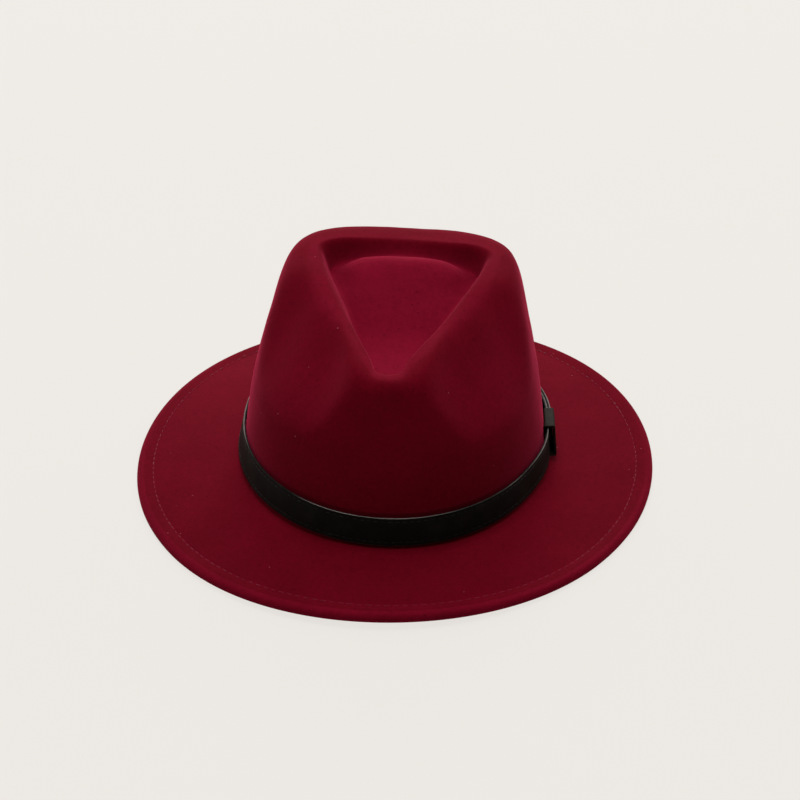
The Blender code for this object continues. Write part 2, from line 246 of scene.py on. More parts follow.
# The keeper: how far its front end stands off the strap, the room in it above the strap, its
# leather below the strap, and its corners in section.
KEEPER_LOOSE = 0.4 * MM
KEEPER_ROOM = 0.5 * MM
KEEPER_BELOW = 0.8 * MM
KEEPER_INNER_CORNER = 0.45 * MM
KEEPER_OUTER_CORNER = 1.0 * MM
FLOOR_HALF = 4.0
FLOOR_BELOW = 0.2 * MM  # so that the floor and the brim's lowest stretches aren't in one plane
LAMP_SIZE = 1.8
LAMP_DISTANCE = 3.0
LAMPS = (
    # name, degrees over the floor, degrees round from the front, share of the power
    ("top_lamp", 85, 0, 0.316),
    ("back_lamp", 22, 180, 0.299),
    ("back_right_lamp", 22, 135, 0.141),
    ("back_left_lamp", 22, 225, 0.131),
    ("left_lamp", 22, 270, 0.046),
    ("high_back_lamp", 52, 202, 0.042),
    ("high_right_lamp", 52, 112, 0.025),
)


def length(name, description, default):
    return FloatProperty(
        name=name, description=description, default=default, min=0, precision=5, unit="LENGTH"
    )


def colour(name, description, default):
    return FloatVectorProperty(
        name=name, description=description, default=default, size=3, min=0, max=1, subtype="COLOR"
    )


def rotation(name, description, degrees):
    return FloatProperty(
        name=name, description=description, default=math.radians(degrees), unit="ROTATION"
    )


class HoodSettings(bpy.types.PropertyGroup):
    """The felt hood."""

    crown_length: length("Crown length", "Front to back at the crown's foot", 210.8 * MM)
    crown_width: length("Crown width", "Side to side at the crown's foot", 168.5 * MM)
    crown_height: length("Crown height", "From the foot to the ridge at its highest", 104 * MM)
    brim_width: length("Brim width", "At the front and the back", 55.6 * MM)
    brim_side_extra: length("Brim side extra", "How much wider the brim is at the sides", 5 * MM)
    brim_drop: length("Brim drop", "How far the brim falls to its hem", 7.6 * MM)
    brim_wave: length("Brim wave", "How far the edge rises between where it lies", 3.2 * MM)
    felt: length("Felt", "Thickness of the felt", 2.3 * MM)
    hem_width: length("Hem width", "How far the edge is folded under", 9.8 * MM)
    stitch_inset: length("Stitch inset", "From the brim's edge to its stitches", 8.4 * MM)
    stitch_pitch: length("Stitch pitch", "From one stitch of the hem to the next", 4.8 * MM)
    stitch_length: length("Stitch length", "The part of a stitch that shows", 3.5 * MM)
    thread_radius: length("Thread radius", "Half the thickness of the hem's thread", 0.18 * MM)
    columns: IntProperty(
        name="Columns", description="Faces round the hood", default=240, min=24, max=480
    )
    deep: colour("Deep", "The felt's darker fibres", (0.074, 0.0006, 0.0044))
    bright: colour("Bright", "The felt's lighter fibres", (0.118, 0.0012, 0.0078))
    # The painted light's strength: how much lighter the felt is coloured where light and shade are
    # painted.
    painted_light_gain: FloatVectorProperty(
        name="Raised nap",
        description="How much lighter the felt is where its nap is raised",
        default=(1.58, 3.0, 2.4),
        min=0,
    )
    lint: colour("Lint", "Specks of lint", (0.42, 0.12, 0.15))
    thread: colour("Thread", "The hem's thread", (0.16, 0.011, 0.026))


class StrapSettings(bpy.types.PropertyGroup):
    """The leather strap and its keeper."""

    width: length("Width", "Width of the strap", 16.3 * MM)
    thickness: length("Thickness", "Thickness of the strap's leather", 1.3 * MM)
    rise: length("Rise", "From the crown's foot to the strap's lower edge", 3.6 * MM)
    overlap: length("Overlap", "How far the strap's ends lie over each other", 45 * MM)
    keeper_width: length("Keeper width", "Width of the loop", 20 * MM)
    keeper_thickness: length("Keeper thickness", "Thickness of the loop's leather", 1.2 * MM)
    keeper_angle: rotation("Keeper angle", "Where the keeper is, from straight ahead", 92)
    stitch_inset: length("Stitch inset", "From the strap's edges to their stitches", 2.1 * MM)
    stitch_pitch: length("Stitch pitch", "From one stitch of the strap to the next", 3.8 * MM)
    stitch_length: length("Stitch length", "The part of a stitch that shows", 2.8 * MM)
    thread_radius: length("Thread radius", "Half the thickness of the strap's thread", 0.2 * MM)
    stations: IntProperty(
        name="Stations", description="Sections along the strap", default=460, min=60, max=900
    )
    leather: colour("Leather", "The strap's finish", (0.0056, 0.0051, 0.0043))
    raw_edge: colour("Raw edge", "The strap's cut edges", (0.23, 0.20, 0.19))
    keeper: colour("Keeper", "The keeper's finish", (0.0105, 0.0079, 0.0058))
    thread: colour("Thread", "The strap's thread", (0.010, 0.010, 0.008))


class StageSettings(bpy.types.PropertyGroup):
    """The floor, the lights and the camera."""

    floor: colour("Floor", "The floor's colour", (0.06, 0.059, 0.058))
    glow: colour("Glow", "The floor's own light, as of a light table", (0.765, 0.737, 0.70))
    far: colour("Far", "What is seen beyond the floor, which lights nothing", (0.84, 0.81, 0.77))
    lamp_colour: colour("Lamp colour", "Of all the lamps", (1.0, 0.98, 0.96))
    lamp_power: FloatProperty(
        name="Lamp power", description="Of all the lamps together", default=237, min=0
    )
    azimuth: rotation("Azimuth", "The camera's place round the hat, from its front", 3.7)
    elevation: rotation("Elevation", "The camera's height over the hat", 30.4)
    roll: rotation("Roll", "The camera's turn about its view", -0.75)
    distance: length("Distance", "From the camera to what it looks at", 1.6)
    aim_right: length("Aim right", "What it looks at, right of the crown's middle", 3.3 * MM)
    aim_up: length("Aim up", "What it looks at, above the crown's middle", 26.25 * MM)
    focal_length: FloatProperty(
        name="Focal length", description="Of the lens, in millimetres", default=127.94, min=1
    )


def smooth_step(x):
    """0 up to 0, 1 from 1 on, smooth between."""
    x = np.clip(x, 0, 1)
    return x * x * (3 - 2 * x)


def bell(x):
    """1 at 0, falling smoothly to both sides."""
    return np.exp(-np.square(x))


def smooth_curve(knots, values, at):
    """A smooth curve through the values at the knots, read at other places."""
    knots, values = np.asarray(knots, float), np.asarray(values, float)
    at = np.clip(np.asarray(at, float), knots[0], knots[-1])
    slopes = np.gradient(values, knots)
    left = np.clip(np.searchsorted(knots, at, side="right") - 1, 0, len(knots) - 2)
    span = knots[left + 1] - knots[left]
    t = (at - knots[left]) / span
    return (
        (2 * t**3 - 3 * t**2 + 1) * values[left]
        + (t**3 - 2 * t**2 + t) * span * slopes[left]
        + (3 * t**2 - 2 * t**3) * values[left + 1]
        + (t**3 - t**2) * span * slopes[left + 1]
    )


def turned(x, y):
    """Plan coordinates on the teardrop, turned and shifted with it."""
    return (
        x * math.cos(RIDGE_TURN) - y * math.sin(RIDGE_TURN) + RIDGE_SHIFT,
        x * math.sin(RIDGE_TURN) + y * math.cos(RIDGE_TURN),
    )


def tipped(x, y, z, share=1.0):
    """A point of the crown, tipped about the middle of its foot. The brim takes a share of it."""
    turn = CROWN_TIP * share
    return x * np.cos(turn) + z * np.sin(turn), y, z * np.cos(turn) - x * np.sin(turn)


def direction(around, over):
    """The way from the hat to a place round it, from its front, and over it."""
    level = math.cos(over)
    return Vector((math.sin(around) * level, -math.cos(around) * level, math.sin(over)))


def pinch(angle, edge=PINCH_EDGE):
    """1 in the two pinches, 0 on the nose between them and at the back."""
    away = np.abs(angle)
    deep = smooth_step((away - PINCH_FROM) / edge)
    return deep * smooth_step((PINCH_TO - away) / PINCH_FADE)


def column_angle(share):
    """The angle at which a column leaves the wall. Beside the nose the columns run steeply up to
    the ridge."""
    lag = COLUMN_LAG * np.sin(math.pi * np.clip(np.abs(share) / LAG_SPAN, 0, 1)) ** 2
    return np.sign(share) * (math.pi * np.abs(share) - lag)


def at_back(share):
    """1 in the columns at the back of the ridge, 0 elsewhere."""
    return smooth_step((np.abs(share) - 0.62) / 0.12)


def crown_painted_light(row, share, angle):
    """How much painted light a row of the crown gets, counted up to the ridge in row 34: in the
    pinches, and just under the ridge."""
    # Painted light in the pinches, fading higher up the shoulder.
    pressed = PINCH_PAINTED_LIGHT * smooth_step((row - 2) / 7) * (1 - 0.75 * smooth_step((row - 15) / 12))
    ridge = RIDGE_PAINTED_LIGHT - BACK_RIDGE_PAINTED_LIGHT_LESS * at_back(share)
    return np.maximum(pressed * pinch(angle), ridge * smooth_step((row - 27) / 6))


def dent_painted_light(step, share):
    """How much painted light the dent gets, down its wall from 0 to 1 and in over its floor to 2."""
    less = WALL_PAINTED_LIGHT_LESS * bell((step - 0.3) / 0.22)
    more = FLOOR_PAINTED_LIGHT_MORE * smooth_step((step - 0.45) / 0.55)
    lightened = RIDGE_PAINTED_LIGHT - less + more
    return lightened - BACK_DENT_PAINTED_LIGHT_LESS * at_back(share) * smooth_step((1.1 - step) / 0.3)


class HatShape:
    """The hat's surfaces, worked out from its sizes. Heights are above the crown's foot."""

    def __init__(self, hood, strap):
        self.hood = hood
        self.strap = strap
        self.hem = 2 * hood.felt + HEM_GAP
        self.foot_z = self.hem + hood.brim_drop

    def crown_oval(self, angle, height):
        """A plan point on the crown's wall."""
        high = height / self.hood.crown_height
        bulge = WALL_BULGE * np.sin(math.pi * np.clip(high / SIDE_START, 0, 1))
        half_width = self.hood.crown_width / 2 - height * SIDE_LEAN + bulge
        half_length = self.hood.crown_length / 2 - height * END_LEAN + bulge
        at_corner = np.sin(2 * angle) ** 2 * (np.cos(angle) < 0)
        corner = BACK_CORNERS * high**2 * at_corner
        return (half_width + corner) * np.sin(angle), -(half_length + corner) * np.cos(angle)

    def brim_point(self, angle, out):
        """A plan point on the brim, from the foot at 0 to the edge at 1."""
        foot_x, foot_y = self.crown_oval(angle, 0)
        side = (self.hood.brim_width + self.hood.brim_side_extra) * out
        return foot_x + side * np.sin(angle), foot_y - self.hood.brim_width * out * np.cos(angle)

    def brim_lift(self, angle):
        """How far the brim's edge rises, in three waves round it."""
        wave = (1 + np.cos(3 * angle)) / 2
        return self.hood.brim_wave * np.maximum(wave - LYING_SHARE, 0) / (1 - LYING_SHARE)

    def brim_height(self, angle, out):
        """The brim's top: a straight fall to the hem, level over it, and lifted by the wave."""
        level_from = 1 - self.hood.hem_width / self.hood.brim_width
        fall = self.hood.brim_drop * np.minimum(out / level_from, 1)
        return self.brim_lift(angle) * smooth_step(out) - fall

    def foot_radius(self, angle):
        """The radius of the turn from the wall to the brim."""
        return FOOT_RADIUS + (FOOT_RADIUS_FRONT - FOOT_RADIUS) * np.maximum(np.cos(angle), 0) ** 2

    def hem_relief(self, angle):
        """How strongly the hem stands out: most at the front, hardly at the back."""
        ahead = smooth_step((np.cos(angle) + 0.6) / 1.3)
        return HEM_RELIEF_BACK + (1 - HEM_RELIEF_BACK) * ahead

    def hem_spread(self, angle):
        """How much wider the hem is than its stated width."""
        return 1 + HEM_SPREAD * np.maximum(np.cos(angle), 0) ** 2

    def stitched(self, angle, from_edge):
        """How the hem's stitches shape its top: pulled in along them, puffed up outside them."""
        inset = self.hood.stitch_inset * self.hem_spread(angle)
        pulled = PULL_DEPTH * bell((from_edge - inset) / PULL_WIDTH)
        puffed = PUFF_HEIGHT * np.sin(math.pi * np.clip(from_edge / inset, 0, 1)) ** 2
        return (puffed - pulled) * self.hem_relief(angle)

    def front(self, angle):
        """1 on the nose, fading to 0 at the sides."""
        return smooth_step(2 - np.abs(angle) / NOSE_REACH)

    def shoulder_start(self, angle):
        """The height at which the wall turns in towards the ridge."""
        start = SIDE_START + (POINT_START - SIDE_START) * self.front(angle)
        low = pinch(angle, SHOULDER_EDGE)
        return (start + (PINCH_START - start) * low) * self.hood.crown_height

    def ridge_point(self, share):
        """The ridge's x, y and height in each column, which share out the teardrop's length."""
        along, out, high = np.array(RIDGE_STATIONS).T
        knots = np.linspace(0, 1, len(along))
        fine = np.linspace(0, 1, 400)
        x = smooth_curve(knots, out, fine) * RIDGE_WIDTH / 2
        y = smooth_curve(knots, along, fine) * RIDGE_LENGTH - RIDGE_POINT
        z = smooth_curve(knots, high, fine) * self.hood.crown_height
        run = np.concatenate([[0], np.cumsum(np.hypot(np.diff(x), np.diff(y)))])
        at = np.abs(share) * run[-1]
        x = np.interp(at, run, x) * np.sign(share)
        return *turned(x, np.interp(at, run, y)), np.interp(at, run, z)

    def shoulder_ring(self, share, angle, t):
        """A ring between the wall at 0 and the ridge at 1, drawn in at the pinches."""
        start = self.shoulder_start(angle)
        wall = np.stack([*self.crown_oval(angle, start), start])
        below = np.stack([*self.crown_oval(angle, start - MM), start - MM])
        upwards = (wall - below) / np.linalg.norm(wall - below, axis=0)
        top = np.stack(self.ridge_point(share))
        outwards = wall - top
        outwards[2] = 0
        across = np.linalg.norm(outwards, axis=0)
        outwards = outwards / across
        squeeze, front = pinch(angle), self.front(angle)
        keep_up = SHOULDER_UP + (POINT_UP - SHOULDER_UP) * front
        keep_up = keep_up + (PINCH_UP - keep_up) * squeeze
        keep_in = SHOULDER_IN + (POINT_IN - SHOULDER_IN) * front
        keep_in = keep_in + (PINCH_IN - keep_in) * squeeze
        lower = wall + upwards * (top[2] - start) * keep_up
        upper = top + outwards * across * keep_in
        ring = (
            (1 - t) ** 3 * wall
            + 3 * (1 - t) ** 2 * t * lower
            + 3 * (1 - t) * t**2 * upper
            + t**3 * top
        )
        hollow = PINCH_DEPTH * squeeze * math.sin(math.pi * t**LOW_POWER) ** 2
        pressed = outwards * math.cos(PINCH_TILT) + np.array([[0], [0], [math.sin(PINCH_TILT)]])
        return ring - pressed * hollow

    def floor_height(self, along, aside=0.0):
        """The floor's height. Aside is 0 on its middle line and 1 below the ridge."""
        knots, high = np.array(FLOOR_STATIONS).T
        fall = FLOOR_FALL * smooth_step(along / FALL_FULL) * np.square(aside)
        return smooth_curve(knots, high, along) * self.hood.crown_height - fall

    def dent_ring(self, share, step):
        """A ring of the dent: down its wall from 0 to 1, and in over its floor from 1 to 2."""
        ridge_x, ridge_y, ridge_z = self.ridge_point(share)
        middle_x, middle_y = turned(0, DENT_MIDDLE * RIDGE_LENGTH - RIDGE_POINT)
        to_x, to_y = middle_x - ridge_x, middle_y - ridge_y
        reach = np.hypot(to_x, to_y)
        ridge_along = (ridge_y + RIDGE_POINT) / RIDGE_LENGTH
        back = smooth_step((ridge_along - GROOVE_FROM) / (1 - GROOVE_FROM))
        wall = DENT_WALL + (DENT_WALL_BACK - DENT_WALL) * back
        inward = wall * min(step, 1) + (reach - wall) * max(step - 1, 0)
        x, y = ridge_x + to_x * inward / reach, ridge_y + to_y * inward / reach
        along = (y + RIDGE_POINT) / RIDGE_LENGTH
        down = smooth_step(inward / wall) ** WALL_ROLL
        groove = GROOVE_DEPTH * back * bell((inward - wall) / GROOVE_WIDTH)
        floor = self.floor_height(along, 2 * (x - middle_x) / RIDGE_WIDTH) - groove
        return x, y, ridge_z + (floor - ridge_z) * down

    def placed(self, x, y, height, tip_share=1.0):
        """Points in the frame from points above the crown's foot."""
        x, y, height = tipped(x, y, height, tip_share)
        return np.stack([x, y, height + self.foot_z], axis=-1)

    def brim_top(self, angle, from_edge):
        """A point on top of the brim, a distance in from its edge."""
        out = 1 - from_edge / self.hood.brim_width
        height = self.brim_height(angle, out) + self.stitched(angle, from_edge)
        foot_share = self.foot_radius(angle) / self.hood.brim_width
        tip_share = np.minimum((1 - out) / (1 - foot_share), 1)
        return self.placed(*self.brim_point(angle, out), height, tip_share)

    def hem_top(self, angle, from_edge):
        """A point on top of the hem, a distance in from its edge where the hem is narrow."""
        return self.brim_top(angle, from_edge * self.hem_spread(angle))

    def hem_under(self, angle, from_edge):
        """The same under the hem."""
        out = 1 - from_edge * self.hem_spread(angle) / self.hood.brim_width
        pulled = PULL_DEPTH_BELOW * bell((from_edge - self.hood.stitch_inset) / PULL_WIDTH_BELOW)
        height = self.brim_lift(angle) - self.foot_z + pulled
        return self.placed(*self.brim_point(angle, out), height, 0)

    def rings(self):
        """The hood's outer face as rings from the hem's cut edge to the dent's middle. Each has
        how freely the felt there may swell and sink, and how much painted light it gets."""
        columns = self.hood.columns
        share = np.arange(columns) * 2 / columns - 1 + 1 / columns
        angle = math.pi * share
        upper_angle = column_angle(share)
        return [
            *self.hem_rings(angle),
            *self.brim_rings(angle),
            *self.wall_rings(angle, upper_angle),
            *self.crown_rings(share, upper_angle),
            *self.dent_rings(share),
        ]

    def hem_rings(self, angle):
        """Out below the hem, round the brim's edge and in on top of it."""
        relief = self.hem_relief(angle)
        for from_edge in np.array(HEM_RINGS_BELOW) * MM:
            yield self.hem_under(angle, from_edge), 0.0, 0.0
        half_hem = self.hem / 2
        for turned_by in np.linspace(0, math.pi, 13)[:-1]:
            from_edge = half_hem * (1 - math.sin(turned_by))
            out = 1 - from_edge / self.hood.brim_width
            height = self.brim_lift(angle) - self.foot_z + half_hem * (1 - math.cos(turned_by))
            height = height + self.stitched(angle, from_edge) * (turned_by > math.pi / 2)
            # Painted light on the brim's rounded edge, strongest at the front.
            yield self.placed(*self.brim_point(angle, out), height, 0), 0.0, EDGE_PAINTED_LIGHT * relief
        for from_edge, painted_light in HEM_RINGS_ABOVE:
            yield self.hem_top(angle, from_edge * MM), HEM_FREEDOM, painted_light * relief

    def brim_rings(self, angle):
        """On top of the brim, from behind the hem inwards, and round the turn to the wall."""
        width, radius = self.hood.brim_width, self.foot_radius(angle)
        for from_edge in np.linspace(BRIM_FROM, width - radius, 20):
            ease = smooth_step((width - from_edge) / BRIM_EASE)
            yield self.brim_top(angle, from_edge), BRIM_FREEDOM * ease, 0.0
        foot = radius / width
        outer = np.stack([*self.brim_point(angle, foot), self.brim_height(angle, foot)])
        corner = np.stack([*self.crown_oval(angle, 0), np.zeros(len(angle))])
        inner = np.stack([*self.crown_oval(angle, radius), radius])
        for t in np.linspace(0, 1, 8)[1:]:
            ring = (1 - t) ** 2 * outer + 2 * (1 - t) * t * corner + t**2 * inner
            yield self.placed(*ring), 0.0, 0.0

    def wall_rings(self, angle, upper_angle):
        """Up the wall behind the strap, and on to where the columns have run askew."""
        strap_top = self.strap.rise + self.strap.width + MM
        for height in np.linspace(self.foot_radius(angle), strap_top, 6)[1:]:
            yield self.placed(*self.crown_oval(angle, height), height), 0.0, 0.0
        gathered = GATHERED_BY * self.hood.crown_height
        for t in np.linspace(0, 1, 11)[1:]:
            height = strap_top + (gathered - strap_top) * t
            at = angle + (upper_angle - angle) * smooth_step(t)
            yield self.placed(*self.crown_oval(at, height), height), smooth_step(t * 1.6), 0.0

    def crown_rings(self, share, angle):
        """Up the rest of the wall and in over the shoulder to the ridge, with creases rounded."""
        gathered, start = GATHERED_BY * self.hood.crown_height, self.shoulder_start(angle)
        rows = []
        for t in np.linspace(0, 1, 8)[1:]:
            height = gathered + (start - gathered) * t
            rows.append(np.stack([*self.crown_oval(angle, height), height]))
        rows += [self.shoulder_ring(share, angle, t) for t in np.linspace(0, 1, 29)[1:]]
        for row, ring in enumerate(self.softened(np.array(rows))):
            yield self.placed(*ring), 1.0, crown_painted_light(row, share, angle)

    def dent_rings(self, share):
        """Down the dent's wall and in over its floor, closer together near its middle."""
        for step in (*np.linspace(0, 1, 17)[1:], *(1 + np.linspace(0, 0.97, 17)[1:] ** 1.3)):
            yield self.placed(*self.dent_ring(share, step)), 1.0, dent_painted_light(step, share)

    def softened(self, rows):
        """The crown's rings with their creases rounded, less so towards the first and last."""
        keep = np.sin(math.pi * np.linspace(0, 1, len(rows)))[:, None, None] ** 0.5
        for _ in range(CREASE_SOFTNESS):
            round_about = (np.roll(rows, 1, 2) + np.roll(rows, -1, 2)) / 2
            up_down = rows.copy()
            up_down[1:-1] = (rows[:-2] + rows[2:]) / 2
            rows = rows + (round_about + up_down - 2 * rows) / 4 * keep
        return rows

    def dent_pole(self):
        """The point in the dent's middle, which closes the hood."""
        middle = turned(0, DENT_MIDDLE * RIDGE_LENGTH - RIDGE_POINT)
        return self.placed(*middle, float(self.floor_height(DENT_MIDDLE)))

    def angle_per_length(self, angle):
        """How far the angle turns for each metre along the strap."""
        x0, y0 = self.crown_oval(angle - SMALL_ANGLE, self.strap.rise)
        x1, y1 = self.crown_oval(angle + SMALL_ANGLE, self.strap.rise)
        return 2 * SMALL_ANGLE / math.hypot(x1 - x0, y1 - y0)

    def stand_off(self, angle):
        """How far the strap's inner face stands off the wall."""
        away = abs(angle - self.strap.keeper_angle)
        away = min(away, 2 * math.pi - away) / self.angle_per_length(self.strap.keeper_angle)
        near = smooth_step(1 - (away - self.strap.keeper_width) / STRAP_EASE)
        return CLEARANCE + (self.strap.keeper_thickness + CLEARANCE) * near

    def strap_frame(self, angle, off):
        """The strap's section: the foot of its inner face, the way up it and the way out of it."""
        rise = self.strap.rise
        strap_top = rise + self.strap.width
        base = self.placed(*self.crown_oval(angle, rise), rise)
        top = self.placed(*self.crown_oval(angle, strap_top), strap_top)
        ahead = self.placed(*self.crown_oval(angle + SMALL_ANGLE, rise), rise)
        up = (top - base) / np.linalg.norm(top - base)
        out = np.cross(ahead - base, up)
        out = out / np.linalg.norm(out)
        if out @ (base - [0, 0, self.foot_z]) < 0:
            out = -out
        front, side = max(math.cos(angle), 0), math.sin(angle)
        lower = LOWER_OFF_FRONT * front
        lower += side**2 * (LOWER_OFF_RIGHT if side > 0 else LOWER_OFF_LEFT)
        tilt = math.asin((UPPER_OFF_FRONT * front - lower) / self.strap.width)
        tilted_up = up * math.cos(tilt) + out * math.sin(tilt)
        tilted_out = out * math.cos(tilt) - up * math.sin(tilt)
        return base + out * (off + lower), tilted_up, tilted_out

    def strap_run(self, stations):
        """The strap's sections, from the end behind the keeper round to the end inside it. Each is
        the foot of the inner face, the way up, the way out and the length so far."""
        keeper = self.strap.keeper_angle
        per_length = self.angle_per_length(keeper)
        inner_end = keeper + self.strap.overlap * per_length
        layer = self.strap.thickness + CLEARANCE
        run, so_far, last = [], 0.0, None
        for angle in np.linspace(inner_end, keeper - 2 * math.pi, stations):
            past_inner_end = (angle + 2 * math.pi - inner_end) / per_length
            over = smooth_step(2 - past_inner_end / STRAP_STEP)
            foot, up, out = self.strap_frame(angle, self.stand_off(angle) + layer * over)
            so_far += 0 if last is None else float(np.linalg.norm(foot - last))
            last = foot
            run.append((foot, up, out, so_far))
        return run


class Value:
    """A socket in an expression. Each operator adds a Math node."""

    def __init__(self, tree, socket):
        self.tree = tree
        self.socket = socket

    def out(self, name):
        """Another output of the same node."""
        return Value(self.tree, self.socket.node.outputs[name])

    def math(self, operation, *values):
        return self.tree.add("ShaderNodeMath", {"operation": operation}, dict(enumerate(values)))

    def __add__(self, other):
        return self.math("ADD", self, other)

    def __sub__(self, other):
        return self.math("SUBTRACT", self, other)

    def __rsub__(self, other):
        return self.math("SUBTRACT", other, self)

    def __mul__(self, other):
        return self.math("MULTIPLY", self, other)

    def __truediv__(self, other):
        return self.math("DIVIDE", self, other)

    __radd__ = __add__
    __rmul__ = __mul__

    def above(self, low, high):
        """0 below the low value, 1 above the high one, smooth between."""
        return self.tree.add(
            "ShaderNodeMapRange", {"interpolation_type": "SMOOTHSTEP"}, {0: self, 1: low, 2: high}
        )

    def below(self, low, high):
        return 1 - self.above(low, high)


class Tree:
    """Adds nodes to a shader or geometry tree."""

    def __init__(self, tree):
        self.tree = tree

    def add(self, kind, settings=None, inputs=None, output=0):
        """A node of a type, with its settings made first and then its inputs set or linked."""
        node = self.tree.nodes.new(kind)
        for name, value in (settings or {}).items():
            setattr(node, name, value)
        for name, value in (inputs or {}).items():
            if isinstance(value, Value):
                self.tree.links.new(value.socket, node.inputs[name])
            else:
                node.inputs[name].default_value = value
        return Value(self, node.outputs[output]) if node.outputs else node

    def mix(self, share, one, other, blend="MIX"):
        """A colour between two."""
        one, other = [c if isinstance(c, Value) else (*c, 1) for c in (one, other)]
        return self.add(
            "ShaderNodeMix",
            {"data_type": "RGBA", "blend_type": blend},
            {0: share, 6: one, 7: other},
            2,
        )

    def cloud(self, place, scale, detail=2.0, roughness=0.5, distortion=0.0):
        """A noise pattern, with so many features to a metre."""
        return self.add(
            "ShaderNodeTexNoise",
            None,
            {
                "Vector": place,
                "Scale": scale,
                "Detail": detail,
                "Roughness": roughness,
                "Distortion": distortion,
            },
        )

    def cells(self, place, scale, feature="F1"):
        """The distance from the nearest of so many points to a metre."""
        return self.add(
            "ShaderNodeTexVoronoi", {"feature": feature}, {"Vector": place, "Scale": scale}
        )

    def attribute(self, name):
        """A number that the piece's points carry."""
        return self.add("ShaderNodeAttribute", {"attribute_name": name}, output="Fac")

    def bump(self, height):
        """A normal from a height in metres."""
        return self.add(
            "ShaderNodeBump", None, {"Strength": 1.0, "Distance": 1.0, "Height": height}
        )


def new_material(name, constants, varying):
    """A Principled material. Varying gets the tree and the object's coordinates, and returns what
    changes over the surface."""
    made = bpy.data.materials.new(name)
    made.use_nodes = True
    made.node_tree.nodes.clear()
    tree = Tree(made.node_tree)
    place = tree.add("ShaderNodeTexCoord", output="Object")
    surface = tree.add("ShaderNodeBsdfPrincipled", None, {**constants, **varying(tree, place)})
    tree.add("ShaderNodeOutputMaterial", None, {"Surface": surface})
    return made


def felt_material(hood):
    """Wool felt: mottled, with fine fibres, small pits and a little lint, and lightened by painted
    light.
    """

    def varying(tree, place):
        patches = tree.cloud(place, scale=38)
        mottle = tree.cloud(place, scale=420, detail=4.0, roughness=0.62, distortion=0.4)
        fibres = tree.cloud(place, scale=1900, detail=3.0, roughness=0.6, distortion=1.2)
        share = (patches - 0.5) * 0.5 + (mottle - 0.5) * 0.8 + (fibres - 0.5) * 0.35 + 0.5
        base = tree.mix(share.above(0, 1), hood.deep, hood.bright)
        # Painted light: the felt is made lighter where the points' attribute says.
        painted_light = tree.attribute("painted_light")
        base = tree.mix(painted_light, base, hood.painted_light_gain, "MULTIPLY")
        pits = tree.cells(place, scale=190).below(0.05, 0.16)
        base = tree.mix(pits * 0.4, base, [c * 0.45 for c in hood.deep])
        specks = tree.cells(place, scale=70.7).below(0.018, 0.034)
        base = tree.mix(specks * 0.4, base, hood.lint)
        height = mottle * (0.06 * MM) + fibres * (0.05 * MM) - pits * (0.04 * MM)
        return {"Base Color": base, "Normal": tree.bump(height)}

    constants = {
        "Roughness": 0.95,
        "Specular IOR Level": 0.02,
        "Sheen Weight": 0.27,
        "Sheen Roughness": 0.33,
        "Sheen Tint": (1.0, 0.06, 0.17, 1),
    }
    return new_material("wine_wool_felt", constants, varying)


def leather_material(name, finish, raw_edge, grain, gloss):
    """Leather with a fine grain. Where the piece's attribute "cut" is 1 its fibres show."""

    def varying(tree, place):
        scuffs = tree.cloud(place, scale=95, detail=4.0, roughness=0.6)
        pebbles = tree.cells(place, scale=1150, feature="SMOOTH_F1")
        fibres = tree.cloud(place, scale=2600, detail=3.0, roughness=0.7)
        worn = tree.cloud(place, scale=26).above(0.3, 0.62)
        cut = tree.attribute("cut") * (0.45 + worn * 0.55)
        base = tree.mix(scuffs.above(0.4, 0.75), finish, [c * 1.7 for c in finish])
        ragged = tree.mix(fibres.above(0.3, 0.7), [c * 0.6 for c in raw_edge], raw_edge)
        base = tree.mix((cut + (fibres - 0.5) * 0.4).above(0.1, 0.9), base, ragged)
        height = pebbles * (grain * (1 - cut)) + fibres * (0.02 * MM + cut * (0.1 * MM))
        roughness = 0.40 + scuffs * 0.16 + pebbles * 0.08 + cut * 0.35
        return {"Base Color": base, "Roughness": roughness, "Normal": tree.bump(height)}

    return new_material(name, {"Specular IOR Level": gloss}, varying)


def thread_material(name, colour_of, roughness):
    """Twisted thread."""

    def varying(tree, place):
        twist = tree.cloud(place, scale=3200, detail=1.0)
        base = tree.mix(twist.above(0.3, 0.7), [c * 0.7 for c in colour_of], colour_of)
        return {"Base Color": base, "Normal": tree.bump(twist * (0.06 * MM))}

    constants = {"Roughness": roughness, "Specular IOR Level": 0.1}
    return new_material(name, constants, varying)


def settings_of(context):
    """What the panel lists: the hood's settings, the strap's and the stage's."""
    scene = context.scene
    return scene.fedora_hood, scene.fedora_strap, scene.fedora_stage


def grid_mesh(name, rows, pole=None):
    """A mesh from closed rows of points, each joined to the next. A pole closes the last."""
    count = len(rows[0])
    points = np.concatenate(rows)
    faces = []
    for row in range(len(rows) - 1):
        for i in range(count):
            j = (i + 1) % count
            low, high = row * count, (row + 1) * count
            faces.append((low + i, low + j, high + j, high + i))
    if pole is not None:
        last = (len(rows) - 1) * count
        faces += [(last + i, last + (i + 1) % count, len(points)) for i in range(count)]
        points = np.concatenate([points, [pole]])
    mesh = bpy.data.meshes.new(name)
    mesh.from_pydata(points.tolist(), [], faces)
    return mesh


def add_object(name, data, *materials):
    """A new object in the scene, from a mesh, a light or a camera."""
    made = bpy.data.objects.new(name, data)
    bpy.context.scene.collection.objects.link(made)
    for material in materials:
        made.data.materials.append(material)
    return made


def set_points(mesh, name, values, kind="FLOAT"):
    """Give each point of a mesh a number, or a vector."""
    attribute = mesh.attributes.new(name, kind, "POINT")
    key = "vector" if kind == "FLOAT_VECTOR" else "value"
    attribute.data.foreach_set(key, np.asarray(values, np.float32).ravel())


